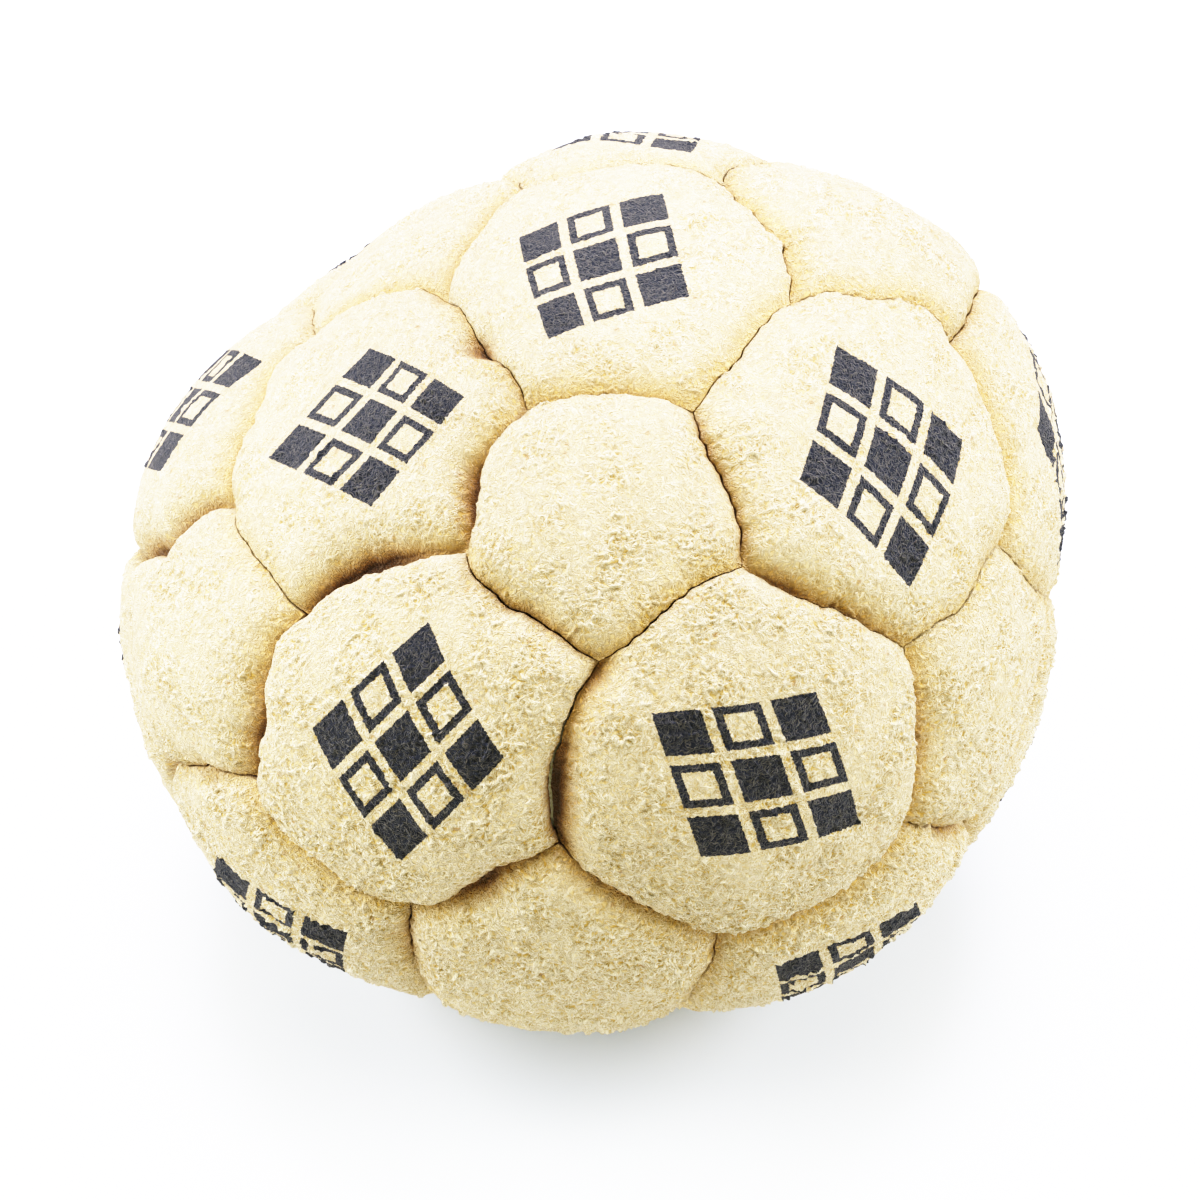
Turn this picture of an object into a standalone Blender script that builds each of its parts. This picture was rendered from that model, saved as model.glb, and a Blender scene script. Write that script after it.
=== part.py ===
"""A small hand-sewn weighted ball: thirty-two suede panels with turned seams
around a closed cotton pouch of loose granules. Metres, +Z up, at rest on one
hexagonal panel; the origin is on the floor under the middle of the ball."""

import math

import bmesh
import bpy
import numpy as np

for old in list(bpy.data.objects):
    bpy.data.objects.remove(old, do_unlink=True)

# ---- driving dimensions, in millimetres unless a name says otherwise ----
RADIUS = 34.0  # of the round ball before it slumps, measured at the seams
SUEDE = 1.2  # thickness of the panels
GAP = 0.36  # between the turned edges of two neighbours
FLANGE = 2.0  # how deep a panel's edge turns in at a seam
SHOULDER = 0.95  # radius of the fold where the panel turns in
CROWN_HEX = 0.9  # how far the middle of a hexagon stands above its seams
CROWN_PENT = 0.7
THREAD_WIDE = 0.9  # the row of stitches under the turned edges
THREAD_TOP = 2.3  # its depth below the cover
THREAD_BOTTOM = 3.1
POUCH_CLOTH = 0.5  # thickness of the cotton
POUCH_AT_SEAM = 3.7  # depth of the pouch under a seam, past the stitches
POUCH_BESIDE = 2.3  # and where it has cleared the turned edges
POUCH_SLACK = 0.6  # and left between it and the middle of a panel
POUCH_MOUTH = 2.0  # and at the mouth, which is drawn in to make room for its lacing
BESIDE = 2.2  # distance from the seam to where POUCH_BESIDE holds
MOUTH = (4.2, 0.75)  # half length and half width of the slit that it is filled through
LACE = 0.4  # thread diameter
LACE_DEPTH = 1.5
LACE_CROSSINGS = 9
CLEAR = 0.3  # left between the pouch and its fill
PER_EDGE = 2  # straight pieces along each edge of a panel

# ---- how the loose fill has settled ----
SETTLED = (0.99, 0.985, 0.87)  # width, depth and height against the round ball
LEAN = (-2.5, 3.0, -2.5)  # turn of the ball about X, Y and Z, degrees
FLOOR = -27.4  # where the floor meets the settled ball, from its middle
FLOOR_EASE = 0.8  # how gradually the cover leaves the floor
LOBE = 28.0  # spread of each push below, degrees
# where the loose fill has moved the cover: azimuth and elevation in degrees,
# then the push to the right, to the back and up
PUSHES = (
    (0, 90, (-2.0, -1.0, -1.0)),  # the top has sunk and slid to the left
    (-150, 45, (4.0, 0.0, -0.5)),  # the flat place at the left of the top
    (145, 40, (2.5, -1.5, -2.0)),  # the straight side behind that place
    (20, 35, (1.5, 2.0, 3.0)),  # the full corner at the right of the top
    (70, 50, (0.0, 0.5, 1.0)),  # the back of the top, lifted
    (-100, 35, (0.0, 1.0, 0.5)),  # the front, pressed back a little
    (-150, 5, (-1.0, 0.0, 0.0)),  # the full left side
    (-125, -20, (-1.0, -1.0, -0.5)),  # the sagging lower front, at its left
    (-55, -20, (1.0, -1.0, -0.5)),  # and at its right
)

SUEDE_COLOUR = (0.78, 0.68, 0.46, 1.0)
COTTON_COLOUR = (0.86, 0.83, 0.75, 1.0)
THREAD_COLOUR = (0.80, 0.72, 0.55, 1.0)
GRANULE_COLOUR = (0.55, 0.50, 0.42, 1.0)

MM = 0.001


def unit(v):
    v = np.asarray(v, float)
    return v / np.linalg.norm(v, axis=-1, keepdims=True)


def turn(degrees, axis):
    """Rotation matrix about a unit axis."""
    c, s = math.cos(math.radians(degrees)), math.sin(math.radians(degrees))
    x, y, z = axis
    k = np.array([[0, -z, y], [z, 0, -x], [-y, x, 0]])
    return np.eye(3) + s * k + (1 - c) * (k @ k)


# ---- the pattern: an icosahedron with its corners cut off ----
def icosahedron():
    """Twelve corners, turned so that a face points up and a corner leans to -Y."""
    phi = (1 + math.sqrt(5)) / 2
    corners = []
    for a in (-1, 1):
        for b in (-phi, phi):
            corners += [(0, a, b), (a, b, 0), (b, 0, a)]
    corners = unit(corners)
    reach = corners @ corners.T
    near = [[j for j in range(12) if j != i and reach[i, j] > 0.4] for i in range(12)]
    first = 0
    second = near[first][0]
    third = [k for k in near[first] if k in near[second]][0]
    up = unit(corners[first] + corners[second] + corners[third])
    front = unit(corners[first] - up * (corners[first] @ up))
    axes = np.stack([np.cross(-front, up), -front, up])
    return corners @ axes.T, near


CORNERS, NEAR = icosahedron()


def around(centre, points):
    """The points in order round a centre, counter-clockwise seen from outside."""
    side = unit(points[0] - centre * (points[0] @ centre))
    other = np.cross(centre, side)
    return sorted(points, key=lambda p: math.atan2(p @ other, p @ side))


def junction(i, j):
    """The corner of the pattern on the edge from corner i to corner j, nearer i."""
    return unit(2 * CORNERS[i] + CORNERS[j])


def panels():
    """(kind, corner directions in order) of each panel, from the top down."""
    made = []
    for i in range(12):
        made.append(("pent", around(CORNERS[i], [junction(i, j) for j in NEAR[i]])))
        for j in NEAR[i]:
            for k in NEAR[i]:
                if i < j < k and k in NEAR[j]:
                    pairs = [(i, j), (j, i), (j, k), (k, j), (k, i), (i, k)]
                    middle = unit(CORNERS[i] + CORNERS[j] + CORNERS[k])
                    made.append(("hex", around(middle, [junction(*p) for p in pairs])))

    def order(panel):
        c = np.mean(panel[1], axis=0)
        return (-round(c[2], 3), round(math.atan2(c[1], c[0]), 3))

    return sorted(made, key=order)


# ---- the settled cover ----
PUSH_AT = np.array(
    [
        (
            math.cos(math.radians(e)) * math.cos(math.radians(a)),
            math.cos(math.radians(e)) * math.sin(math.radians(a)),
            math.sin(math.radians(e)),
        )
        for a, e, _ in PUSHES
    ]
)
PUSH_BY = np.array([p for _, _, p in PUSHES])
LEAN_TURN = turn(
    float(np.linalg.norm(LEAN)), tuple(np.array(LEAN) / np.linalg.norm(LEAN))
)


def cover(d):
    """Where the cover lies, at seam level, in each unit direction d."""
    away = np.degrees(np.arccos(np.clip(d @ PUSH_AT.T, -1, 1)))
    p = (d @ LEAN_TURN.T) * RADIUS * np.array(SETTLED)
    p = p + np.exp(-((away / LOBE) ** 2)) @ PUSH_BY
    t = p[:, 2] - FLOOR
    eased = np.where(t < -FLOOR_EASE, 0.0, (t + FLOOR_EASE) ** 2 / (4 * FLOOR_EASE))
    p[:, 2] = np.where(t > FLOOR_EASE, t, eased)
    return p


def outward(d):
    """The cover's outward normal in each direction d."""
    step = 2e-3
    a = unit(np.cross(d, np.where(np.abs(d[:, 2:3]) < 0.9, (0, 0, 1), (1, 0, 0))))
    b = np.cross(d, a)
    along = cover(unit(d + step * a)) - cover(unit(d - step * a))
    across = cover(unit(d + step * b)) - cover(unit(d - step * b))
    return unit(np.cross(along, across))


def place(d, height):
    """Points at a height above the cover, in directions d, none under the floor."""
    p = cover(d) + outward(d) * np.asarray(height, float).reshape(-1, 1)
    p[:, 2] = np.maximum(p[:, 2], 0.0)
    return p


class Panel:
    """One polygon of the pattern, walked by distance in from its seams."""

    def __init__(self, kind, corners):
        self.kind = kind
        self.middle = np.mean(corners, axis=0)
        flat = []
        for a, b in zip(corners, corners[1:] + corners[:1]):
            flat += [a + (b - a) * k / PER_EDGE for k in range(PER_EDGE)]
        self.edge = np.array(flat)
        mid = (corners[0] + corners[1]) / 2
        self.apothem = float(np.linalg.norm(mid - self.middle)) * RADIUS
        self.grounded = self.middle[2] < -0.9
        crown = CROWN_HEX if kind == "hex" else CROWN_PENT
        self.crown = 0.0 if self.grounded else crown
        self.pouch_depth = SUEDE + POUCH_SLACK - self.crown

    def share(self, inset):
        """How much of the polygon is left this far in from its seams."""
        return 1 - inset / self.apothem

    def loop(self, share):
        return unit(self.middle + (self.edge - self.middle) * share)

    def dome(self, share):
        return self.crown * (1 - share**2.2)

    def local(self, x, y):
        """Direction of a point given across the flat polygon, in millimetres."""
        ahead = unit(self.edge[0] - self.middle)
        left = np.cross(unit(self.middle), ahead)
        return unit(self.middle + (ahead * x + left * y) / RADIUS)


# ---- meshes ----
class Builder:
    """Loops of points joined into one closed mesh, welded where they meet."""

    def __init__(self):
        self.bm = bmesh.new()

    def loop(self, points):
        return [self.bm.verts.new(p * MM) for p in points]

    def bridge(self, lower, upper):
        n = len(lower)
        for i in range(n):
            j = (i + 1) % n
            self.bm.faces.new((lower[i], lower[j], upper[j], upper[i]))

    def fan(self, loop, point, flip=False):
        tip = self.bm.verts.new(point * MM)
        n = len(loop)
        for i in range(n):
            a, b = loop[i], loop[(i + 1) % n]
            self.bm.faces.new((b, a, tip) if flip else (a, b, tip))

    def finish(self, name, material, parent):
        bmesh.ops.remove_doubles(self.bm, verts=self.bm.verts[:], dist=1e-7)
        bmesh.ops.recalc_face_normals(self.bm, faces=self.bm.faces[:])
        bmesh.ops.triangulate(self.bm, faces=self.bm.faces[:])
        mesh = bpy.data.meshes.new(name)
        self.bm.to_mesh(mesh)
        self.bm.free()
        mesh.shade_smooth()
        mesh.set_sharp_from_angle(angle=math.radians(50))
        mesh.materials.append(material)
        obj = bpy.data.objects.new(name, mesh)
        bpy.context.scene.collection.objects.link(obj)
        obj.parent = parent
        return obj


def material(name, colour, roughness):
    made = bpy.data.materials.new(name)
    made.use_nodes = True
    shader = made.node_tree.nodes["Principled BSDF"]
    shader.inputs["Base Color"].default_value = colour
    shader.inputs["Roughness"].default_value = roughness
    shader.inputs["Metallic"].default_value = 0.0
    return made


def suede_panel(panel, name, finish, parent):
    """A domed panel whose rim folds over a shoulder and turns in at the seam."""
    edge = GAP / 2
    build = Builder()

    def ring(inset, height, domed=False):
        share = panel.share(inset)
        return build.loop(
            place(panel.loop(share), height + (panel.dome(share) if domed else 0))
        )

    half = panel.apothem * 0.45
    outer = [
        ring(half, 0.0, True),
        ring(edge + SHOULDER, 0.0, True),
        ring(edge + SHOULDER * 0.3, -SHOULDER * 0.3),
        ring(edge, -SHOULDER),
        ring(edge, -FLANGE),
    ]
    inner = [
        ring(edge + SUEDE, -FLANGE),
        ring(edge + SUEDE, -SUEDE - 0.3),
        ring(edge + SUEDE + 0.8, -SUEDE, True),
        ring(half, -SUEDE, True),
    ]
    middle = unit(panel.middle[None, :])
    build.fan(outer[0], place(middle, panel.crown)[0])
    for a, b in zip(outer + inner, outer[1:] + inner):
        build.bridge(b, a)
    build.fan(inner[-1], place(middle, panel.crown - SUEDE)[0], flip=True)
    return build.finish(name, finish, parent)


def stitch_net(pattern, finish, parent):
    """The stitching: one row along every seam, joined where three seams meet."""
    build = Builder()
    for panel in pattern:
        out = panel.loop(1.0)
        into = panel.loop(panel.share(THREAD_WIDE / 2))
        top = build.loop(place(out, -THREAD_TOP)), build.loop(place(into, -THREAD_TOP))
        low = (
            build.loop(place(out, -THREAD_BOTTOM)),
            build.loop(place(into, -THREAD_BOTTOM)),
        )
        build.bridge(top[0], top[1])
        build.bridge(top[1], low[1])
        build.bridge(low[1], low[0])
    return build.finish("seam_thread", finish, parent)


def pouch_skin(build, panel, extra, mouth):
    """One panel's share of the pouch, this much deeper than its outer face. Returns the loop round the mouth, if this panel holds it."""
    seam = build.loop(place(panel.loop(1.0), -POUCH_AT_SEAM - extra))
    share = panel.share(BESIDE)
    beside = build.loop(place(panel.loop(share), -POUCH_BESIDE - extra))
    build.bridge(seam, beside)
    if mouth:
        ahead = unit(panel.edge[0] - panel.middle)
        left = np.cross(unit(panel.middle), ahead)
        slit = []
        for p in panel.edge - panel.middle:
            a = math.atan2(p @ left, p @ ahead)
            slit.append(panel.local(MOUTH[0] * math.cos(a), MOUTH[1] * math.sin(a)))
        rim = build.loop(place(np.array(slit), -POUCH_MOUTH - extra))
        build.bridge(beside, rim)
        return rim
    middle = unit(panel.middle[None, :])
    build.fan(beside, place(middle, -panel.pouch_depth - extra)[0])
    return None


def pouch(pattern, mouth_panel, finish, parent):
    """The cotton pouch: two skins joined round the slit that it is filled through."""
    build = Builder()
    rims = []
    for extra in (0.0, POUCH_CLOTH):
        for panel in pattern:
            rims.append(pouch_skin(build, panel, extra, panel is mouth_panel))
    outer, inner = [rim for rim in rims if rim]
    build.bridge(outer, inner)
    return build.finish("inner_pouch", finish, parent)


def granules(pattern, mouth_panel, finish, parent):
    """The loose fill, as one body that fills the pouch."""
    build = Builder()
    extra = POUCH_CLOTH + CLEAR
    for panel in pattern:
        seam = build.loop(place(panel.loop(1.0), -POUCH_AT_SEAM - extra))
        share = panel.share(BESIDE)
        beside = build.loop(place(panel.loop(share), -POUCH_BESIDE - extra))
        build.bridge(seam, beside)
        depth = POUCH_MOUTH if panel is mouth_panel else panel.pouch_depth
        middle = unit(panel.middle[None, :])
        build.fan(beside, place(middle, -depth - extra)[0])
    return build.finish("granule_fill", finish, parent)


def lacing(mouth_panel, finish, parent, move):
    """The thread that draws the mouth of the pouch shut, as a zigzag across it."""
    stops = []
    for k in range(LACE_CROSSINGS + 1):
        along = MOUTH[0] * 1.1 * (2 * k / LACE_CROSSINGS - 1)
        stops.append(mouth_panel.local(along, (1 if k % 2 else -1) * 1.7))
    points = place(np.array(stops), -LACE_DEPTH)
    data = bpy.data.curves.new("pouch_lacing", "CURVE")
    data.dimensions = "3D"
    data.bevel_depth = LACE / 2 * MM
    data.bevel_resolution = 2
    data.use_fill_caps = True
    line = data.splines.new("POLY")
    line.points.add(len(points) - 1)
    for spot, p in zip(line.points, points):
        spot.co = (*((p + move) * MM), 1.0)
    data.materials.append(finish)
    obj = bpy.data.objects.new("pouch_lacing", data)
    bpy.context.scene.collection.objects.link(obj)
    obj.parent = parent
    return obj


def main():
    pattern = [Panel(kind, corners) for kind, corners in panels()]
    ball = bpy.data.objects.new("ball_frame", None)
    bpy.context.scene.collection.objects.link(ball)

    suede = material("suede", SUEDE_COLOUR, 0.95)
    cotton = material("cotton", COTTON_COLOUR, 0.9)
    thread = material("thread", THREAD_COLOUR, 0.8)
    grain = material("granules", GRANULE_COLOUR, 0.85)

    count = {"hex": 0, "pent": 0}
    made = []
    for panel in pattern:
        count[panel.kind] += 1
        name = f"{panel.kind}_panel_{count[panel.kind]:02d}"
        made.append(suede_panel(panel, name, suede, ball))

    mouth_panel = pattern[0]  # the hexagon that faces up
    made.append(stitch_net(pattern, thread, ball))
    made.append(pouch(pattern, mouth_panel, cotton, ball))
    made.append(granules(pattern, mouth_panel, grain, ball))

    # the origin is on the floor, under the middle of the ball's outline
    spots = np.array([v.co for obj in made for v in obj.data.vertices])
    middle = (spots.min(axis=0) + spots.max(axis=0)) / 2
    for obj in made:
        for v in obj.data.vertices:
            v.co.x -= middle[0]
            v.co.y -= middle[1]
    lacing(mouth_panel, thread, ball, np.array([-middle[0], -middle[1], 0]) / MM)


main()
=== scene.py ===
import math

import bpy
import mathutils
import numpy as np
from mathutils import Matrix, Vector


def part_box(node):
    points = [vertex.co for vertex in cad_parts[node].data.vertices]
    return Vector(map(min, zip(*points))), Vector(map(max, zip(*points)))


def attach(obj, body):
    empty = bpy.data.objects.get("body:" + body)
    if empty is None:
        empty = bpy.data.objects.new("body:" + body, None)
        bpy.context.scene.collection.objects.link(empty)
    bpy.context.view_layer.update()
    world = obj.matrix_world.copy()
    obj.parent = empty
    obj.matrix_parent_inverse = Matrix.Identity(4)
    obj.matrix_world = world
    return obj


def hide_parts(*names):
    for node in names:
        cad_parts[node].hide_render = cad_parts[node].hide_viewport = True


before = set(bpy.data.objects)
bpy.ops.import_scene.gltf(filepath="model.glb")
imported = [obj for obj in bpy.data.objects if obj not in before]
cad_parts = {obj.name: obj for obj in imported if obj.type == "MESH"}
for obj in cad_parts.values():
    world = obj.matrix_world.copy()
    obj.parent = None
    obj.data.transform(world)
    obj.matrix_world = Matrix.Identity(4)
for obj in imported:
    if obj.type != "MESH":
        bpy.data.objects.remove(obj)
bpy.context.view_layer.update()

MM = 0.001

# ---------------------------------------------------------------------------
# The settled ball, in millimetres: the same cover as the CAD solids have
# ---------------------------------------------------------------------------
RADIUS = 34.0
SETTLED = np.array((0.99, 0.985, 0.87))
LEAN = np.array((-2.5, 3.0, -2.5))
FLOOR = -27.4
FLOOR_EASE = 0.8
LOBE = 28.0
PUSHES = (
    (0, 90, (-2.0, -1.0, -1.0)),
    (-150, 45, (4.0, 0.0, -0.5)),
    (145, 40, (2.5, -1.5, -2.0)),
    (20, 35, (1.5, 2.0, 3.0)),
    (70, 50, (0.0, 0.5, 1.0)),
    (-100, 35, (0.0, 1.0, 0.5)),
    (-150, 5, (-1.0, 0.0, 0.0)),
    (-125, -20, (-1.0, -1.0, -0.5)),
    (-55, -20, (1.0, -1.0, -0.5)),
)
SHIFT = np.array((-0.0772, 0.1124, 0.0))  # puts the origin under the outline's middle

RINGS = 128
SUEDE = 1.2


def unit(v):
    v = np.asarray(v, float)
    return v / np.linalg.norm(v, axis=-1, keepdims=True)


def heading(azimuth, elevation):
    a, e = math.radians(azimuth), math.radians(elevation)
    return np.array(
        (math.cos(e) * math.cos(a), math.cos(e) * math.sin(a), math.sin(e))
    )


def turn(degrees, axis):
    c, s = math.cos(math.radians(degrees)), math.sin(math.radians(degrees))
    x, y, z = axis
    k = np.array([[0, -z, y], [z, 0, -x], [-y, x, 0]])
    return np.eye(3) + s * k + (1 - c) * (k @ k)


PUSH_AT = np.array([heading(a, e) for a, e, _ in PUSHES])
PUSH_BY = np.array([p for _, _, p in PUSHES])
LEAN_TURN = turn(float(np.linalg.norm(LEAN)), LEAN / np.linalg.norm(LEAN))


def cover(d):
    away = np.degrees(np.arccos(np.clip(d @ PUSH_AT.T, -1, 1)))
    p = (d @ LEAN_TURN.T) * RADIUS * SETTLED
    p = p + np.exp(-((away / LOBE) ** 2)) @ PUSH_BY
    t = p[:, 2] - FLOOR
    eased = np.where(t < -FLOOR_EASE, 0.0, (t + FLOOR_EASE) ** 2 / (4 * FLOOR_EASE))
    p[:, 2] = np.where(t > FLOOR_EASE, t, eased)
    return p


def outward(d):
    step = 2e-3
    a = unit(np.cross(d, np.where(np.abs(d[:, 2:3]) < 0.9, (0, 0, 1), (1, 0, 0))))
    b = np.cross(d, a)
    along = cover(unit(d + step * a)) - cover(unit(d - step * a))
    across = cover(unit(d + step * b)) - cover(unit(d - step * b))
    return unit(np.cross(along, across))


# ---------------------------------------------------------------------------
# The sewing pattern
# ---------------------------------------------------------------------------
def icosahedron():
    phi = (1 + math.sqrt(5)) / 2
    corners = []
    for a in (-1, 1):
        for b in (-phi, phi):
            corners += [(0, a, b), (a, b, 0), (b, 0, a)]
    corners = unit(corners)
    reach = corners @ corners.T
    near = [[j for j in range(12) if j != i and reach[i, j] > 0.4] for i in range(12)]
    first = 0
    second = near[first][0]
    third = [k for k in near[first] if k in near[second]][0]
    up = unit(corners[first] + corners[second] + corners[third])
    front = unit(corners[first] - up * (corners[first] @ up))
    axes = np.stack([np.cross(-front, up), -front, up])
    return corners @ axes.T, near


CORNERS, NEAR = icosahedron()

# names for the corners of the pattern that face the camera: F is the front
# pentagon, A to E the pentagons round it, and AB to EA those beyond them
NAMED = {"F": 0}
for key, spot in {
    "A": (-0.526, 0.304, 0.795),
    "B": (0.526, 0.304, 0.795),
    "C": (0.851, -0.491, 0.188),
    "D": (0.0, -0.982, -0.188),
    "E": (-0.851, -0.491, 0.188),
}.items():
    NAMED[key] = max(NEAR[0], key=lambda i: CORNERS[i] @ np.array(spot))
for a, b in ("AB", "BC", "CD", "DE", "EA"):
    NAMED[a + b] = [
        i for i in NEAR[NAMED[a]] if i in NEAR[NAMED[b]] and i != 0
    ][0]

# how far each junction of three seams lies from its place in the ideal
# pattern, in millimetres east and north over the cover, as cut and sewn by hand
JUNCTION_SHIFTS = {
    ("F", "A"): (0.8, -0.2), ("F", "B"): (0.1, 0.2), ("F", "C"): (-0.5, 1.1),
    ("F", "D"): (0.6, 0.5), ("F", "E"): (0.0, 0.4),
    ("A", "F"): (0.2, 0.5), ("B", "F"): (-0.5, 0.5), ("C", "F"): (0.1, 0.2),
    ("D", "F"): (-1.1, -0.5), ("E", "F"): (0.1, 0.1),
    ("A", "B"): (-0.2, -2.2), ("B", "A"): (-0.6, -1.6), ("B", "C"): (-1.0, 1.4),
    ("C", "B"): (-1.0, -0.2), ("C", "D"): (0.9, -0.8), ("D", "C"): (-0.8, -2.0),
    ("D", "E"): (0.3, -0.8), ("E", "D"): (-0.2, -0.2), ("E", "A"): (1.1, 0.7),
    ("A", "E"): (-2.3, -0.1), ("A", "AB"): (-2.2, 0.9), ("B", "AB"): (1.6, 0.9),
    ("A", "EA"): (-0.3, -0.3), ("B", "BC"): (-1.2, -1.4), ("C", "BC"): (1.5, 1.5),
    ("C", "CD"): (-0.5, -0.7), ("D", "CD"): (0.9, -3.7), ("D", "DE"): (-1.2, -3.9),
    ("E", "EA"): (-1.1, 1.2), ("E", "DE"): (0.3, -0.3),
}

# how each seam bows to the left of the way from its first junction to its
# second, in millimetres at a quarter, half and three quarters of its length,
# and how far it gapes open
SEAM_BOWS = {
    ("FA", "FB"): (0.6, 1.1, 1.0, 0.03), ("FA", "AF"): (-0.8, -0.1, -0.6, 0.0),
    ("AF", "AB"): (0.0, -0.1, 0.4, -0.1), ("BF", "BA"): (-0.8, -0.8, 0.2, -0.1),
    ("AB", "BA"): (0.4, 1.9, 1.9, -0.6), ("AB", "A.AB"): (-0.5, -0.5, -0.6, -0.4),
    ("BA", "B.AB"): (1.0, 0.2, 0.7, -0.4), ("FB", "FC"): (-0.2, 0.2, 0.5, 0.15),
    ("FB", "BF"): (0.1, 0.1, 0.4, -0.25), ("BF", "BC"): (1.3, 1.4, 1.9, -0.4),
    ("CF", "CB"): (0.1, -0.4, 0.7, -0.35), ("BC", "CB"): (0.5, 0.9, 1.5, -0.15),
    ("BC", "B.BC"): (-0.3, 0.0, -0.4, 0.1), ("CB", "C.BC"): (-0.8, -0.9, -0.2, -0.1),
    ("FC", "FD"): (-0.8, -0.7, -0.1, -0.05), ("FC", "CF"): (-0.3, 0.0, 0.1, 0.1),
    ("CF", "CD"): (0.3, 0.4, 0.3, 0.15), ("DF", "DC"): (-0.3, -0.3, 0.0, 0.15),
    ("CD", "DC"): (0.8, 1.0, 0.6, 0.12), ("CD", "C.CD"): (0.0, -0.4, -0.6, 0.2),
    ("DC", "D.CD"): (0.0, -0.2, -0.4, 0.1), ("FD", "FE"): (0.3, 0.7, 1.1, 0.12),
    ("FD", "DF"): (-1.3, -1.8, -1.5, 0.4), ("DF", "DE"): (-0.4, -0.1, 0.6, 0.15),
    ("EF", "ED"): (-0.8, 0.1, 0.5, 0.15), ("DE", "ED"): (0.7, 0.8, 0.7, -0.3),
    ("DE", "D.DE"): (-0.4, -0.6, -0.3, 0.2), ("ED", "E.DE"): (-0.9, -1.0, -0.7, 0.1),
    ("FE", "FA"): (1.0, 2.2, 1.4, 0.1), ("FE", "EF"): (-0.8, -1.3, -1.3, 0.62),
    ("EF", "EA"): (0.1, 0.2, 0.5, -0.25), ("AF", "AE"): (-1.6, -2.2, -2.0, -0.1),
    ("EA", "AE"): (1.3, 0.9, 1.9, 0.05), ("EA", "E.EA"): (-0.3, 1.4, 0.4, 0.25),
    ("AE", "A.EA"): (-0.3, -0.3, -0.1, 0.0),
    ("D.CD", "D.DE"): (2.0, 3.0, 2.0, 0.1),
}

# dents and swellings of the cover: azimuth, elevation, radius along and across
# in millimetres, the turn of its long side from east, its height, and the
# corners of the pattern that its panel lies between, if it keeps to one panel
DENTS = (
    (-147, 69, 2.2, 1.4, 60, -1.1, None),
    (-133, 68.5, 1.5, 1.0, 50, 0.35, None),
    (-137, -1, 1.6, 0.8, 10, -0.5, None),
    (-93, -28, 9.0, 5.0, 0, 1.0, "D"),
    (-92, -44, 11.0, 5.5, 0, -1.6, "D CD DE"),
)

# places where a seam gapes wider: how far along it, over what share of its
# length, and by how much
GAPES = {
    ("FB", "FC"): (0.70, 0.22, 0.45),
    ("DF", "DE"): (0.57, 0.13, 0.60),
    ("FD", "DF"): (0.62, 0.25, 0.25),
    ("FE", "EF"): (0.45, 0.30, 0.30),
    ("EA", "E.EA"): (0.40, 0.20, 0.40),
    ("FC", "CF"): (0.20, 0.15, 0.2),
    ("FE", "FA"): (0.30, 0.20, 0.35),
    ("EF", "ED"): (0.75, 0.18, 0.35),
}


# which side slopes into the seam and which laps over it with a crisp edge:
# above 0, the panel to the left of the way from the first junction slopes
LAPS = {
    ("FA", "FB"): 0.9, ("FA", "AF"): 0.8, ("AF", "AB"): 0.8, ("BF", "BA"): -0.8,
    ("FB", "BF"): 0.7, ("BF", "BC"): 0.6, ("CF", "CB"): 0.5, ("BC", "CB"): 0.8,
    ("FC", "FD"): -0.7, ("FC", "CF"): 0.8, ("CF", "CD"): 0.9, ("DF", "DC"): -0.5,
    ("CD", "DC"): 0.8, ("FD", "FE"): -0.5, ("FD", "DF"): 1.0, ("DF", "DE"): 0.5,
    ("FE", "FA"): 0.7, ("FE", "EF"): -1.0, ("EF", "ED"): -1.0, ("DE", "ED"): 0.5,
    ("AF", "AE"): -0.8, ("EA", "AE"): 0.8, ("EA", "E.EA"): -0.8,
}


def pair(name):
    """The two corners that a junction's short name stands for."""
    a, b = name.split(".") if "." in name else (name[0], name[1])
    return NAMED[a], NAMED[b]


def make_junctions():
    rng = np.random.default_rng(11)
    shifts = {
        (NAMED[a], NAMED[b]): by for (a, b), by in JUNCTION_SHIFTS.items()
    }
    made = {}
    for i in range(12):
        for j in NEAR[i]:
            d = unit(2 * CORNERS[i] + CORNERS[j])
            loose = rng.normal(0, 0.45, 2).clip(-0.9, 0.9)
            east, north = shifts.get((i, j), loose)
            e = unit(np.cross((0, 0, 1.0), d))
            n = np.cross(d, e)
            made[(i, j)] = unit(d + (e * east + n * north) / RADIUS)
    return made


JUNCTIONS = make_junctions()


def make_seams():
    """For each seam: its two junctions and its sideways offset, as sine terms,
    to the left of the way from the first to the second."""
    rng = np.random.default_rng(23)
    given = {(pair(a), pair(b)): by for (a, b), by in SEAM_BOWS.items()}
    gapes = {(pair(a), pair(b)): by for (a, b), by in GAPES.items()}
    laps = {(pair(a), pair(b)): by for (a, b), by in LAPS.items()}
    quarter = np.array(
        [[math.sin(m * math.pi * t) for m in (1, 2, 3)] for t in (0.25, 0.5, 0.75)]
    )
    seams = {}
    for i in range(12):
        for j in NEAR[i]:
            links = [(j, i)] if i < j else []
            links += [(i, k) for k in NEAR[i] if k > j and k in NEAR[j]]
            for other in links:
                one = (i, j)
                bow = rng.normal(0, 0.5, 3).clip(-1, 1) * (0.7, 1.0, 0.7)
                gape = float(rng.choice((0.0, 0.05, 0.1, 0.25, 0.4)))
                first, second = one, other
                if (one, other) in given:
                    *bow, gape = given[(one, other)]
                elif (other, one) in given:
                    first, second = other, one
                    *bow, gape = given[(other, one)]
                terms = np.linalg.solve(quarter, np.array(bow, float))
                seams[frozenset((one, other))] = {
                    "first": first,
                    "terms": terms,
                    "wave": rng.normal(0, 1, 7),
                    "open": gape,
                    "spot": gapes.get((first, second), (0.5, 0.2, 0.0)),
                    "lap": laps.get((first, second), 0.0),
                    "phase": rng.uniform(0, 6.28, 4),
                    "roll": rng.normal(0, 1, 4),
                }
    return seams


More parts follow.
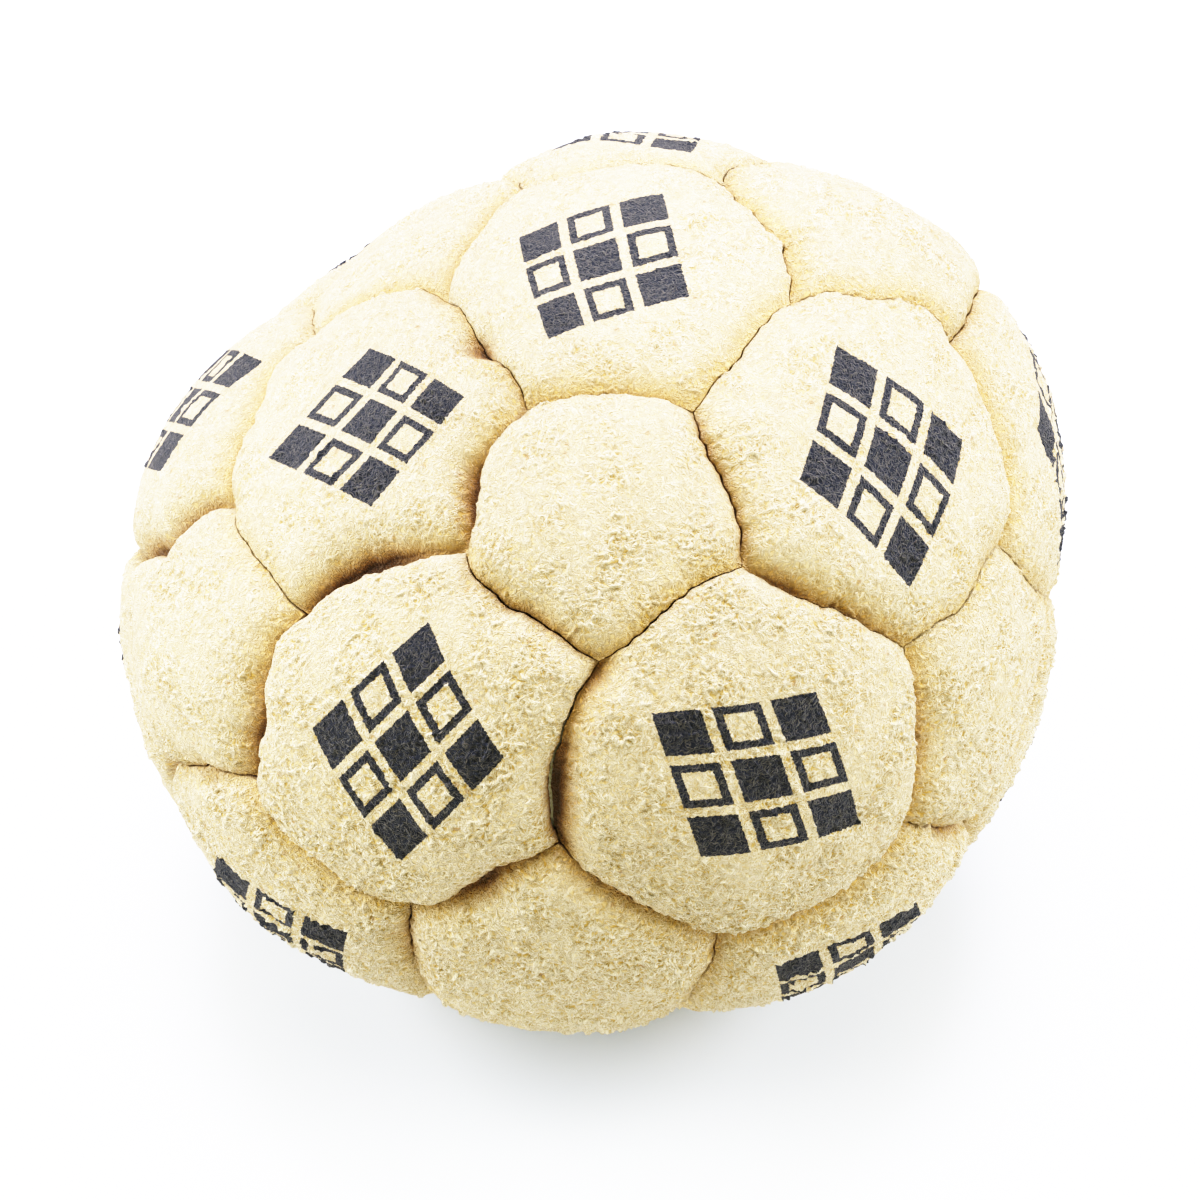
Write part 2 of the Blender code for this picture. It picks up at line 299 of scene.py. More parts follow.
SEAMS = make_seams()


def seam_offset(seam, t):
    """Sideways offset in millimetres at t, from the seam's first junction."""
    out = sum(k * np.sin((m + 1) * np.pi * t) for m, k in enumerate(seam["terms"]))
    ends = np.sqrt(np.clip(np.sin(np.pi * t), 0, 1))
    for k, m, size in zip(
        seam["wave"], (5, 6, 8, 11, 14, 19, 27), (0.07, 0.06, 0.05, 0.045, 0.04, 0.035, 0.03)
    ):
        out = out + ends * size * k * np.sin(m * np.pi * t + 3 * k)
    return out


def seam_open(seam, t):
    """How far the seam gapes at t, from its first junction."""
    at, share, more = seam["spot"]
    base = max(seam["open"], 0) * (0.8 + 0.5 * np.sin(5.1 * t + seam["phase"][0]))
    return base + more * np.exp(-(((t - at) / share) ** 2))


def around(centre, points):
    side = unit(points[0][1] - centre * (points[0][1] @ centre))
    other = np.cross(centre, side)
    return sorted(points, key=lambda p: math.atan2(p[1] @ other, p[1] @ side))


def panels():
    """(kind, junction keys in order) of each panel, in the CAD nodes' order."""
    made = []

    def add(kind, middle, keys):
        ideal = [(k, unit(2 * CORNERS[k[0]] + CORNERS[k[1]])) for k in keys]
        ring = around(middle, ideal)
        c = np.mean([p for _, p in ring], axis=0)
        order = (-round(c[2], 3), round(math.atan2(c[1], c[0]), 3))
        made.append((order, kind, [k for k, _ in ring]))

    for i in range(12):
        add("pent", CORNERS[i], [(i, j) for j in NEAR[i]])
        for j in NEAR[i]:
            for k in NEAR[i]:
                if i < j < k and k in NEAR[j]:
                    keys = [(i, j), (j, i), (j, k), (k, j), (k, i), (i, k)]
                    add("hex", unit(CORNERS[i] + CORNERS[j] + CORNERS[k]), keys)
    return [(kind, keys) for _, kind, keys in sorted(made, key=lambda m: m[0])]


# ---------------------------------------------------------------------------
# Fine relief
# ---------------------------------------------------------------------------
class Noise:
    """Smooth gradient noise in three dimensions, about -1 to 1."""

    def __init__(self, seed):
        rng = np.random.default_rng(seed)
        self.order = rng.permutation(256)
        self.slope = unit(rng.normal(size=(256, 3)))

    def __call__(self, p):
        i = np.floor(p).astype(int)
        f = p - i
        u = f * f * f * (f * (f * 6 - 15) + 10)
        out = np.zeros(len(p))
        for x in (0, 1):
            for y in (0, 1):
                for z in (0, 1):
                    h = self.order[(i[:, 0] + x) & 255]
                    h = self.order[(h + i[:, 1] + y) & 255]
                    h = self.order[(h + i[:, 2] + z) & 255]
                    w = (
                        (u[:, 0] if x else 1 - u[:, 0])
                        * (u[:, 1] if y else 1 - u[:, 1])
                        * (u[:, 2] if z else 1 - u[:, 2])
                    )
                    out += w * ((f - (x, y, z)) * self.slope[h]).sum(1)
        return out * 1.5


LUMPS = Noise(5)
GRAIN = Noise(6)


def nap_tile(side=36.0, pixel=0.06, seed=3):
    """Height of a patch of nap: short curled fibres lying over each other, a
    few of them standing proud."""
    rng = np.random.default_rng(seed)
    size = int(side / pixel)
    tile = np.zeros((size, size))
    count = int(side * side * 11)
    x, y = rng.uniform(0, size, (2, count))
    angle = rng.uniform(0, 2 * math.pi, count)
    bend = rng.normal(0, 1.5, count)
    length = rng.uniform(0.5, 1.15, count) / pixel
    top = rng.uniform(0.3, 0.9, count)
    top[rng.uniform(size=count) < 0.035] = 1.5
    reach = range(-3, 5)
    for s in np.linspace(-0.5, 0.5, 14):
        a = angle + bend * s
        px = x + np.cos(a) * length * s
        py = y + np.sin(a) * length * s
        high = top * (1 - (2 * s) ** 4 * 0.5)
        ix, iy = np.floor(px).astype(int), np.floor(py).astype(int)
        for dx in reach:
            for dy in reach:
                d2 = ((ix + dx - px) ** 2 + (iy + dy - py) ** 2) * pixel**2
                np.maximum.at(
                    tile,
                    ((iy + dy) % size, (ix + dx) % size),
                    high * np.exp(-d2 / 0.0135),
                )
    return tile, pixel


NAP, NAP_PIXEL = nap_tile()


def nap_height(xy):
    """The patch of nap, repeated, at points in millimetres."""
    size = len(NAP)
    p = xy / NAP_PIXEL
    i = np.floor(p).astype(int)
    f = p - i
    x0, y0 = i[:, 0] % size, i[:, 1] % size
    x1, y1 = (x0 + 1) % size, (y0 + 1) % size
    return (
        NAP[y0, x0] * (1 - f[:, 0]) * (1 - f[:, 1])
        + NAP[y0, x1] * f[:, 0] * (1 - f[:, 1])
        + NAP[y1, x0] * (1 - f[:, 0]) * f[:, 1]
        + NAP[y1, x1] * f[:, 0] * f[:, 1]
    )


# ---------------------------------------------------------------------------
# One panel
# ---------------------------------------------------------------------------
GRIDS = {}


def grid(n):
    """Sector, place along its edge and share of the way out, of each point of
    a panel with n edges, and its triangles."""
    if n in GRIDS:
        return GRIDS[n]
    N = RINGS
    sector, along, share = [np.zeros(1, int)], [np.zeros(1)], [np.zeros(1)]
    base = [0, 1]
    for r in range(1, N + 1):
        sector.append(np.repeat(np.arange(n), r))
        along.append(np.tile(np.arange(r) / r, n))
        share.append(np.full(n * r, 1 - (1 - r / N) ** 1.3))
        base.append(base[-1] + n * r)
    faces = []
    for r in range(1, N + 1):
        k = np.arange(r)
        for i in range(n):
            ring = base[r] + (i * r + np.arange(r + 1)) % (n * r)
            if r == 1:
                under = np.zeros(2, int)
            else:
                under = base[r - 1] + (i * (r - 1) + np.arange(r)) % (n * (r - 1))
            faces.append(np.stack([ring[k], ring[k + 1], under[k[:r] if r > 1 else [0]]], 1))
            if r > 1:
                j = np.arange(r - 1)
                faces.append(np.stack([under[j], ring[j + 1], under[j + 1]], 1))
    GRIDS[n] = (
        np.concatenate(sector),
        np.concatenate(along),
        np.concatenate(share),
        np.concatenate(faces),
        base[N],
    )
    return GRIDS[n]


def smooth_least(values, soft):
    """A rounded minimum along the last axis."""
    low = values.min(axis=-1, keepdims=True)
    return (low - soft * np.log(np.exp(-(values - low) / soft).sum(-1, keepdims=True)))[
        ..., 0
    ]


def make_panel(name, kind, keys, index):
    n = len(keys)
    rng = np.random.default_rng(1000 + index)
    corners = np.array([JUNCTIONS[k] for k in keys])
    middle = unit(corners.mean(axis=0))
    e1 = unit(corners[0] - middle * (corners[0] @ middle))
    e2 = np.cross(middle, e1)
    P = RADIUS * np.stack([corners @ e1, corners @ e2], 1) / (corners @ middle)[:, None]
    Q = np.roll(P, -1, axis=0)
    T = unit(Q - P)
    L = np.linalg.norm(Q - P, axis=1)
    V = np.stack([-T[:, 1], T[:, 0]], 1)  # into the panel
    seams = [SEAMS[frozenset((keys[i], keys[(i + 1) % n]))] for i in range(n)]
    ahead = [s["first"] == k for s, k in zip(seams, keys)]

    fray = rng.uniform(0, 6.28, (n, 3))
    least = 0.09  # gap between neighbours, mm
    far = -(P * V).sum(1)  # from the middle of the panel to each straight edge
    bis = unit(V + np.roll(V, 1, axis=0))
    inset = P + bis * (least / 2 / (bis * V).sum(1))[:, None]
    into = np.roll(inset, -1, axis=0)
    T2 = unit(into - inset)
    L2 = np.linalg.norm(into - inset, axis=1)
    V2 = np.stack([-T2[:, 1], T2[:, 0]], 1)

    def offset(i, t):
        """How far edge i of this panel lies inside its straight line."""
        t = np.clip(t, 0, 1)
        s = seams[i]
        own = seam_offset(s, t) if ahead[i] else -seam_offset(s, 1 - t)
        # the same curve over the cover for both neighbours, laid on this panel's sheet
        lean = np.tan(own / (1.1 * RADIUS))
        own = far[i] - RADIUS * (far[i] - RADIUS * lean) / (RADIUS + far[i] * lean)
        gape = seam_open(s, t if ahead[i] else 1 - t)
        ends = np.clip(np.sin(np.pi * t), 0, 1) ** 0.6
        frayed = np.sin(9.7 * L[i] * t + fray[i, 0]) + 0.8 * np.sin(16.3 * L[i] * t + fray[i, 1])
        frayed = frayed * np.sin(2.1 * L[i] * t + fray[i, 2])
        return own + ends * (0.05 * gape + 0.045 * np.abs(frayed))

    sector, along, share, faces, edge_base = grid(n)
    edge = np.zeros((len(sector), 2))
    for i in range(n):
        m = sector == i
        t = along[m]
        edge[m] = inset[i] + T2[i] * (L2[i] * t)[:, None] + V2[i] * offset(i, t)[:, None]
    xy = edge * share[:, None]

    # distance in from each seam
    apart = np.zeros((len(xy), n))
    where = np.zeros((len(xy), n))
    for i in range(n):
        rel = xy - inset[i]
        t = rel @ T2[i] / L2[i]
        apart[:, i] = rel @ V2[i] - offset(i, t)
        where[:, i] = t
    apart = np.maximum(apart, 0)
    close = smooth_least(apart, 0.5).clip(0)

    d = unit(middle + (xy[:, :1] * e1 + xy[:, 1:] * e2) / RADIUS)
    base = cover(d)
    normal = outward(d)
    grounded = middle[2] < -0.9

    # the edge rolls over and down into the seam, further where it gapes
    width = np.zeros((len(xy), n))
    depth = np.zeros((len(xy), n))
    steep = np.zeros((len(xy), n))
    shelf = np.zeros((len(xy), n))
    painted_slope_shade = np.zeros((len(xy), n))
    for i, s in enumerate(seams):
        t = np.clip(where[:, i], 0, 1)
        t = t if ahead[i] else 1 - t
        r = s["roll"][0 if ahead[i] else 1]
        sway = np.sin(4.3 * t + s["phase"][1]) * 0.5 + np.sin(9.1 * t + s["phase"][2]) * 0.3
        wide = 1 - np.exp(-seam_open(s, t) / 0.25)
        faint = 1 + min(s["open"], 0)
        lap = s["lap"] if ahead[i] else -s["lap"]
        width[:, i] = 2.2 * (1 + 0.08 * r + 0.12 * sway) * (1 + 0.35 * wide)
        width[:, i] *= 1 + (0.45 if lap > 0 else 0.42) * lap
        depth[:, i] = faint * (0.47 + 1.20 * wide) * (1 + 0.06 * s["roll"][2] + 0.25 * sway)
        depth[:, i] *= 1 + 0.12 * lap
        steep[:, i] = np.clip(0.70 * wide**2 - 0.35 * lap, 0, 1)
        shelf[:, i] = 0.9 * max(lap, 0) * wide**2 * np.sin(np.pi * t)
        # painted shade on the slope into the seam, wider and stronger on the side that slopes
        painted_slope_shade[:, i] = (0.43 + 0.37 * lap) * np.clip(1 - apart[:, i] / (2.4 + 0.8 * lap), 0, 1) ** 1.7
    rise = np.maximum(apart - shelf, 0) / width
    rolled = smooth_least(rise, 0.16).clip(0, 1)
    weight = np.exp(-(rise - rise.min(1, keepdims=True)) / 0.16)
    weight /= weight.sum(1, keepdims=True)
    deep, steep = (depth * weight).sum(1), (steep * weight).sum(1)
    round_edge = 1 - np.sqrt(np.clip(1 - (1 - rolled) ** 2, 0, 1))
    h = -deep * (steep * round_edge + (1 - steep) * (1 - rolled) ** 2.2)
    sunk = h.copy()

    # the crown of the stuffed panel, and the lumps of the fill behind it
    crown = 0.0 if grounded else (0.80 if kind == "hex" else 0.62)
    h += crown * (1 - (1 - np.clip(close / 10.0, 0, 1)) ** 2)
    free = 0.0 if grounded else 1 - (1 - np.clip(close / 3.5, 0, 1)) ** 2
    h += free * 0.36 * LUMPS(base / 8.5 + index * 3.7)
    h += free * 0.15 * LUMPS(base / 3.6 + 40 + index * 5.1)

    # junctions pinch in
    for p in P:
        h -= 0.45 * np.exp(-(((xy - p) ** 2).sum(1)) / 1.6**2)

    # small puckers that the stitches pull in along the seams
    for i, s in enumerate(seams):
        t = np.clip(where[:, i], 0, 1)
        t = t if ahead[i] else 1 - t
        near = np.exp(-apart[:, i] / 1.3) * np.sin(np.pi * t)
        wave = np.sin(2 * np.pi * L[i] * t / 2.3 + s["phase"][3] + 1.7 * np.sin(7 * t))
        h += 0.03 * near * wave

    # dents and swellings
    sides = {i for i, _ in keys}
    for az, el, long, short, spin, height, whose in DENTS:
        c = heading(az, el)
        e = unit(np.cross((0, 0, 1.0), c))
        nn = np.cross(c, e)
        ca, sa = math.cos(math.radians(spin)), math.sin(math.radians(spin))
        u = (d @ e) * RADIUS
        v = (d @ nn) * RADIUS
        a, b = (u * ca + v * sa) / long, (-u * sa + v * ca) / short
        dent = height * np.exp(-(a * a + b * b)) * ((d @ c) > 0)
        h += dent if whose is None or sides == {NAMED[k] for k in whose.split()} else 0.0
        # a dent that sinks in and keeps to no one panel also gets painted shade in the material, as
        # if deep in a seam
        sunk += 1.2 * np.minimum(dent, 0) if whose is None else 0.0

    # nap
    spin = rng.uniform(0, 2 * math.pi)
    ca, sa = math.cos(spin), math.sin(spin)
    lie = xy @ np.array([[ca, sa], [-sa, ca]]) + rng.uniform(0, 36, 2)
    nap = nap_height(lie)
    # 1 where the nap stands, 0 where it lies flat, as it does more at the top and left
    fluffed = 0.6 * (0.5 - np.maximum(d[:, 2], -0.2)) - 0.9 * np.maximum(-d[:, 0] - 0.45, 0)
    matted = np.clip(0.5 + 0.8 * GRAIN(base / 3.1 + 17) + fluffed, 0, 1)
    h += (0.07 + 0.28 * matted) * (nap - 0.5) + 0.02 * GRAIN(base / 0.55)
    h = np.maximum(h, -2.0)
    if grounded:
        h = np.minimum(h, 0.0)
    points = base + normal * h[:, None]
    points[:, 2] = np.maximum(points[:, 2], 0.0)

    # the edge turns in, and the back of the suede closes the shell
    M = n * RINGS
    rim = edge_base + np.arange(M)
    loops = [rim]
    extra, sheet_extra = [], []
    total = len(points)

    def back(loop_xy, height):
        dd = unit(middle + (loop_xy[:, :1] * e1 + loop_xy[:, 1:] * e2) / RADIUS)
        return cover(dd) + outward(dd) * np.reshape(height, (-1, 1))

    rim_xy = xy[rim]
    inner = rim_xy * (1 - SUEDE / np.linalg.norm(rim_xy, axis=1, keepdims=True))
    for loop_xy, height in (
        (rim_xy * 0.999, np.minimum(h[rim] - 0.05, -1.75)),
        (inner, np.minimum(h[rim] - 0.1, -1.8)),
        (inner * 0.97, np.full(M, -SUEDE - 0.55)),
        (rim_xy * 0.66, crown * 0.5 - SUEDE - 0.35),
        (rim_xy * 0.33, crown * 0.8 - SUEDE - 0.35),
    ):
        extra.append(back(loop_xy, np.broadcast_to(height, M)))
        sheet_extra.append(loop_xy)
        loops.append(total + np.arange(M))
        total += M
    extra.append(back(np.zeros((1, 2)), np.array([crown - SUEDE - 0.35])))
    sheet_extra.append(np.zeros((1, 2)))
    tip = total
    points = np.concatenate([points] + extra)
    points[:, 2] = np.maximum(points[:, 2], 0.0)

    quads = []
    for a, b in zip(loops, loops[1:]):
        quads.append(np.stack([np.roll(a, -1), a, b, np.roll(b, -1)], 1))
    quads = np.concatenate(quads)
    fan = np.stack([np.full(M, tip), np.roll(loops[-1], -1), loops[-1]], 1)

    tris = np.concatenate([faces, fan])
    mesh = bpy.data.meshes.new(name)
    mesh.vertices.add(len(points))
    mesh.vertices.foreach_set("co", ((points + SHIFT) * MM).astype(np.float32).ravel())
    corner = np.concatenate([tris.ravel(), quads.ravel()]).astype(np.int32)
    start = np.concatenate(
        [np.arange(len(tris)) * 3, len(tris) * 3 + np.arange(len(quads)) * 4]
    ).astype(np.int32)
    mesh.loops.add(len(corner))
    mesh.loops.foreach_set("vertex_index", corner)
    mesh.polygons.add(len(start))
    mesh.polygons.foreach_set("loop_start", start)
    mesh.update(calc_edges=True)
    mesh.validate()
    mesh.shade_smooth()

    # what the material reads: where a point lies on its sheet, how deep in a seam, and how much
    # painted shade falls on it by the seams
    front = len(xy)
    whole = np.concatenate([xy] + sheet_extra)
    spin = float(rng.integers(0, 6)) * 60 + rng.uniform(-5, 5)
    ca, sa = math.cos(math.radians(spin)), math.sin(math.radians(spin))
    slip = rng.uniform(-0.5, 0.5, 2)
    motif = (whole - slip) @ np.array([[ca, -sa], [sa, ca]])
    # painted shade: full on the back of the suede, and on its face as strong as the nearest seam's
    # slope shade
    painted_seam_shade = np.ones(len(whole))
    painted_seam_shade[:front] = painted_slope_shade.max(axis=1)
    fibre = np.concatenate([lie, whole[front:] + 7.0])
    tone = np.full(len(whole), float(rng.normal(0, 1)))

    def attribute(label, values):
        layer = mesh.attributes.new(label, "FLOAT_VECTOR", "POINT")
        layer.data.foreach_set("vector", values.astype(np.float32).ravel())

    attribute("print_at", np.column_stack([motif, tone]))
    attribute("nap_at", np.column_stack([fibre, painted_seam_shade]))
    inside = len(whole) - front
    attribute(
        "relief",
        np.column_stack(
            [
                np.concatenate([nap, np.zeros(inside)]),
                np.concatenate([matted, np.zeros(inside)]),
                np.concatenate([-sunk, np.full(inside, 2.0)]),
            ]
        ),
    )

    # a map for the finish: the face of the panel, with its back small in a corner
    span = np.abs(xy).max() * 2.08
    uv = whole / span + 0.5
    uv[front + M :] = whole[front + M :] / span * 0.12 + 0.065
    layer = mesh.uv_layers.new(name="OFBake")
    layer.uv.foreach_set("vector", uv[corner].astype(np.float32).ravel())

    piece = bpy.data.objects.new(name, mesh)
    bpy.context.scene.collection.objects.link(piece)
    return piece


# ---------------------------------------------------------------------------
# Materials
# ---------------------------------------------------------------------------
class Nodes:
    """Shorthand for building a node tree."""

    def __init__(self, material):
        material.use_nodes = True
        self.tree = material.node_tree
        self.tree.nodes.clear()

    def add(self, kind, **settings):
        node = self.tree.nodes.new(kind)
        for key, value in settings.items():
            setattr(node, key, value)
        return node

    def link(self, a, b):
        self.tree.links.new(a, b)

    def feed(self, socket, value):
        if isinstance(value, bpy.types.NodeSocket):
            self.link(value, socket)
        else:
            socket.default_value = value

    def math(self, operation, a, b=None, c=None, clamp=False):
        node = self.add("ShaderNodeMath", operation=operation, use_clamp=clamp)
        for socket, value in zip(node.inputs, (a, b, c)):
            if value is not None:
                self.feed(socket, value)
        return node.outputs[0]

    def vector(self, operation, a, b=None, scale=None):
        node = self.add("ShaderNodeVectorMath", operation=operation)
        self.feed(node.inputs[0], a)
        if b is not None:
            self.feed(node.inputs[1], b)
        if scale is not None:
            self.feed(node.inputs["Scale"], scale)
        return node.outputs["Value"] if operation in ("LENGTH", "DOT_PRODUCT") else node.outputs[0]

    def range(self, value, low, high, to_low=0.0, to_high=1.0, smooth=False):
        node = self.add("ShaderNodeMapRange", clamp=True)
        node.interpolation_type = "SMOOTHSTEP" if smooth else "LINEAR"
        for socket, v in zip(node.inputs, (value, low, high, to_low, to_high)):
            self.feed(socket, v)
        return node.outputs[0]

    def mix(self, factor, a, b, blend="MIX"):
        node = self.add("ShaderNodeMix", data_type="RGBA", blend_type=blend)
        node.clamp_factor = True
        self.feed(node.inputs[0], factor)
        self.feed(node.inputs[6], a)
        self.feed(node.inputs[7], b)
        return node.outputs[2]

    def noise(self, at, scale, detail=2.0, rough=0.5, dims="3D"):
        node = self.add("ShaderNodeTexNoise", noise_dimensions=dims)
        self.feed(node.inputs["Vector"], at)
        node.inputs["Scale"].default_value = scale
        node.inputs["Detail"].default_value = detail
        node.inputs["Roughness"].default_value = rough
        return node

    def split(self, v):
        node = self.add("ShaderNodeSeparateXYZ")
        self.feed(node.inputs[0], v)
        return node.outputs

    def join(self, x, y, z=0.0):
        node = self.add("ShaderNodeCombineXYZ")
        for socket, v in zip(node.inputs, (x, y, z)):
            self.feed(socket, v)
        return node.outputs[0]

    def attribute(self, name):
        return self.add("ShaderNodeAttribute", attribute_name=name).outputs["Vector"]


def fibres(n, at, scale, shift, long, thick):
    """A layer of short curled fibres, one in each cell: how high each point
    lies, 0 between the fibres, and numbers of each fibre's own."""
    moved = n.vector("ADD", n.vector("SCALE", at, scale=scale), shift)
    cell = n.add("ShaderNodeTexVoronoi", voronoi_dimensions="2D", feature="F1")
    n.feed(cell.inputs["Vector"], moved)
    cell.inputs["Scale"].default_value = 1.0
    cell.inputs["Randomness"].default_value = 1.0
    away = n.vector("SUBTRACT", moved, cell.outputs["Position"])
    own = n.split(cell.outputs["Color"])
    spin = n.add("ShaderNodeVectorRotate", rotation_type="Z_AXIS")
    n.feed(spin.inputs["Vector"], away)
    n.feed(spin.inputs["Angle"], n.math("MULTIPLY", own[0], 2 * math.pi))
    xy = n.split(spin.outputs[0])
    curl = n.math("MULTIPLY_ADD", own[1], 3.0, -1.5)
    y = n.math("SUBTRACT", xy[1], n.math("MULTIPLY", curl, n.math("MULTIPLY", xy[0], xy[0])))
    half = n.math("MULTIPLY_ADD", own[2], long * 0.5, long * 0.6)
    x = n.math("MAXIMUM", n.math("SUBTRACT", n.math("ABSOLUTE", xy[0]), half), 0.0)
    off = n.math("ADD", n.math("MULTIPLY", x, x), n.math("MULTIPLY", y, y))
    dome = n.range(off, thick * thick, 0.0)
    lift = n.math("MULTIPLY", n.range(dome, 0.0, 0.3), n.math("MULTIPLY", own[2], 0.55))
    return n.math("MULTIPLY_ADD", dome, 0.45, lift), own


def suede(name, printed):
    made = bpy.data.materials.new(name)
    n = Nodes(made)
    shader = n.add("ShaderNodeBsdfPrincipled")
    out = n.add("ShaderNodeOutputMaterial")
    n.link(shader.outputs[0], out.inputs["Surface"])
    shader.inputs["Roughness"].default_value = 1.0
    shader.inputs["Specular IOR Level"].default_value = 0.08
    shader.inputs["Sheen Weight"].default_value = 0.15
    shader.inputs["Sheen Roughness"].default_value = 0.5
    shader.inputs["Sheen Tint"].default_value = (1.0, 0.92, 0.76, 1.0)

    nap_at = n.attribute("nap_at")
    print_at = n.attribute("print_at")
    relief = n.split(n.attribute("relief"))
    painted_seam_shade = n.split(nap_at)[2]
    tone = n.split(print_at)[2]

    # fibres lie over each other in layers, each with its own size and lie
    sway = n.noise(nap_at, 1.6, 2.0)
    bent = n.vector(
        "ADD",
        nap_at,
        n.vector("SCALE", n.vector("SUBTRACT", sway.outputs["Color"], (0.5, 0.5, 0.5)), scale=0.45),
    )
    pile = None
    for scale, shift, long, thick in (
        (1.65, (0.0, 0.0, 0.0), 0.40, 0.090),
        (2.00, (3.7, 1.3, 0.0), 0.38, 0.105),
        (2.30, (7.1, 5.9, 0.0), 0.38, 0.120),
        (1.45, (1.9, 9.4, 0.0), 0.42, 0.080),
        (1.85, (5.3, 2.2, 0.0), 0.38, 0.095),
        (2.60, (8.8, 7.7, 0.0), 0.36, 0.135),
        (2.15, (2.6, 4.1, 0.0), 0.38, 0.110),
        (1.75, (6.4, 8.3, 0.0), 0.40, 0.095),
    ):
        layer, own = fibres(n, bent, scale, shift, long, thick)
        pile = layer if pile is None else n.math("MAXIMUM", pile, layer)
    fine = n.noise(nap_at, 3.5, 3.0, 0.65)
    fluff = n.math("MULTIPLY_ADD", n.math("SUBTRACT", fine.outputs["Fac"], 0.5), 0.7, pile)
    thick = n.math("MULTIPLY_ADD", relief[1], 0.95, 0.42)

    # colour: pale tips over a warmer base, blotchy on the scale of a fingertip; the base is partly
    # the fibres' own warmer colour and partly painted shade between and under the fibres, darker
    # where the nap lies low
    broad = n.noise(nap_at, 0.16, 3.0, 0.55)
    mid = n.noise(nap_at, 0.8, 3.0, 0.6)
    level = n.math("ADD", n.math("MULTIPLY", fluff, 0.6), n.math("MULTIPLY", relief[0], 0.55))
    level = n.math("MULTIPLY", n.math("SUBTRACT", level, 0.55), thick)
    level = n.math("MULTIPLY_ADD", n.math("SUBTRACT", mid.outputs["Fac"], 0.5), 0.5, level)
    level = n.range(level, -0.55, 0.40)
    hide = n.mix(level, (0.36, 0.232, 0.050, 1), (0.745, 0.65, 0.44, 1))
    blotch = n.range(broad.outputs["Fac"], 0.3, 0.7)
    hide = n.mix(n.math("MULTIPLY", blotch, 0.15), hide, (0.56, 0.46, 0.31, 1))
    shade = n.math("MULTIPLY_ADD", tone, 0.012, 1.0)
    hide = n.vector("SCALE", hide, scale=shade)

    # specks of darker grain
    speck = n.add("ShaderNodeTexVoronoi", voronoi_dimensions="2D", feature="F1")
    n.feed(speck.inputs["Vector"], bent)
    speck.inputs["Scale"].default_value = 0.33
    speck_id = n.split(speck.outputs["Color"])
    dot = n.math(
        "MULTIPLY",
        n.range(speck.outputs["Distance"], 0.085, 0.03, smooth=True),
        n.math("GREATER_THAN", speck_id[0], 0.62),
    )
    hide = n.mix(n.math("MULTIPLY", dot, 0.55), hide, (0.33, 0.18, 0.07, 1))

    # painted shade: the hide is painted darker and warmer on the slopes into the seams, browner
    # where the seam sinks deeper, and near black in the deepest gaps and over the panel's turned-in
    # back
    hide = n.mix(painted_seam_shade, hide, (0.53, 0.315, 0.075, 1))
    hide = n.mix(n.range(relief[2], 0.45, 1.5), hide, (0.31, 0.16, 0.045, 1))
    hide = n.mix(n.range(relief[2], 1.1, 1.9), hide, (0.075, 0.035, 0.012, 1))

    if printed:
        # nine small lozenges, five solid and four in outline, set in a lozenge
        ragged = n.noise(nap_at, 4.2, 2.0, 0.6)
        wob = n.vector(
            "SCALE", n.vector("SUBTRACT", ragged.outputs["Color"], (0.5, 0.5, 0.5)), scale=0.30
        )
        at = n.split(n.vector("ADD", print_at, wob))
        p = n.math("MULTIPLY_ADD", at[0], 0.62, n.math("MULTIPLY", at[1], 0.80))
        q = n.math("MULTIPLY_ADD", at[0], 0.62, n.math("MULTIPLY", at[1], -0.80))
        pitch, half, line = 4.1, 1.68, 0.62

        def cell(v):
            i = n.math("ROUND", n.math("DIVIDE", v, pitch))
            return i, n.math("ABSOLUTE", n.math("SUBTRACT", v, n.math("MULTIPLY", i, pitch)))

        pi, pd = cell(p)
        qi, qd = cell(q)
        far = n.math("MAXIMUM", pd, qd)
        inside = n.range(far, half + 0.03, half - 0.03)
        within = n.math(
            "LESS_THAN", n.math("MAXIMUM", n.math("ABSOLUTE", pi), n.math("ABSOLUTE", qi)), 1.5
        )
        odd = n.math("MODULO", n.math("ABSOLUTE", n.math("ADD", pi, qi)), 2.0)
        hollow = n.range(far, half - line + 0.03, half - line - 0.03)
        ink = n.math("SUBTRACT", inside, n.math("MULTIPLY", odd, hollow), clamp=True)
        ink = n.math("MULTIPLY", ink, within)
        # fibres that the ink missed
        missed = n.range(fluff, 0.75, 1.05)
        ink = n.math("MULTIPLY", ink, n.math("SUBTRACT", 1.0, n.math("MULTIPLY", missed, 0.12)))
        ink_level = n.range(fluff, 0.0, 0.95)
        ink_colour = n.mix(ink_level, (0.012, 0.0145, 0.021, 1), (0.020, 0.024, 0.034, 1))
        hide = n.mix(ink, hide, ink_colour)

    n.link(hide, shader.inputs["Base Color"])

    bump = n.add("ShaderNodeBump")
    bump.inputs["Strength"].default_value = 1.0
    bump.inputs["Distance"].default_value = 0.00026
    n.link(fluff, bump.inputs["Height"])
    n.link(bump.outputs[0], shader.inputs["Normal"])
    return made


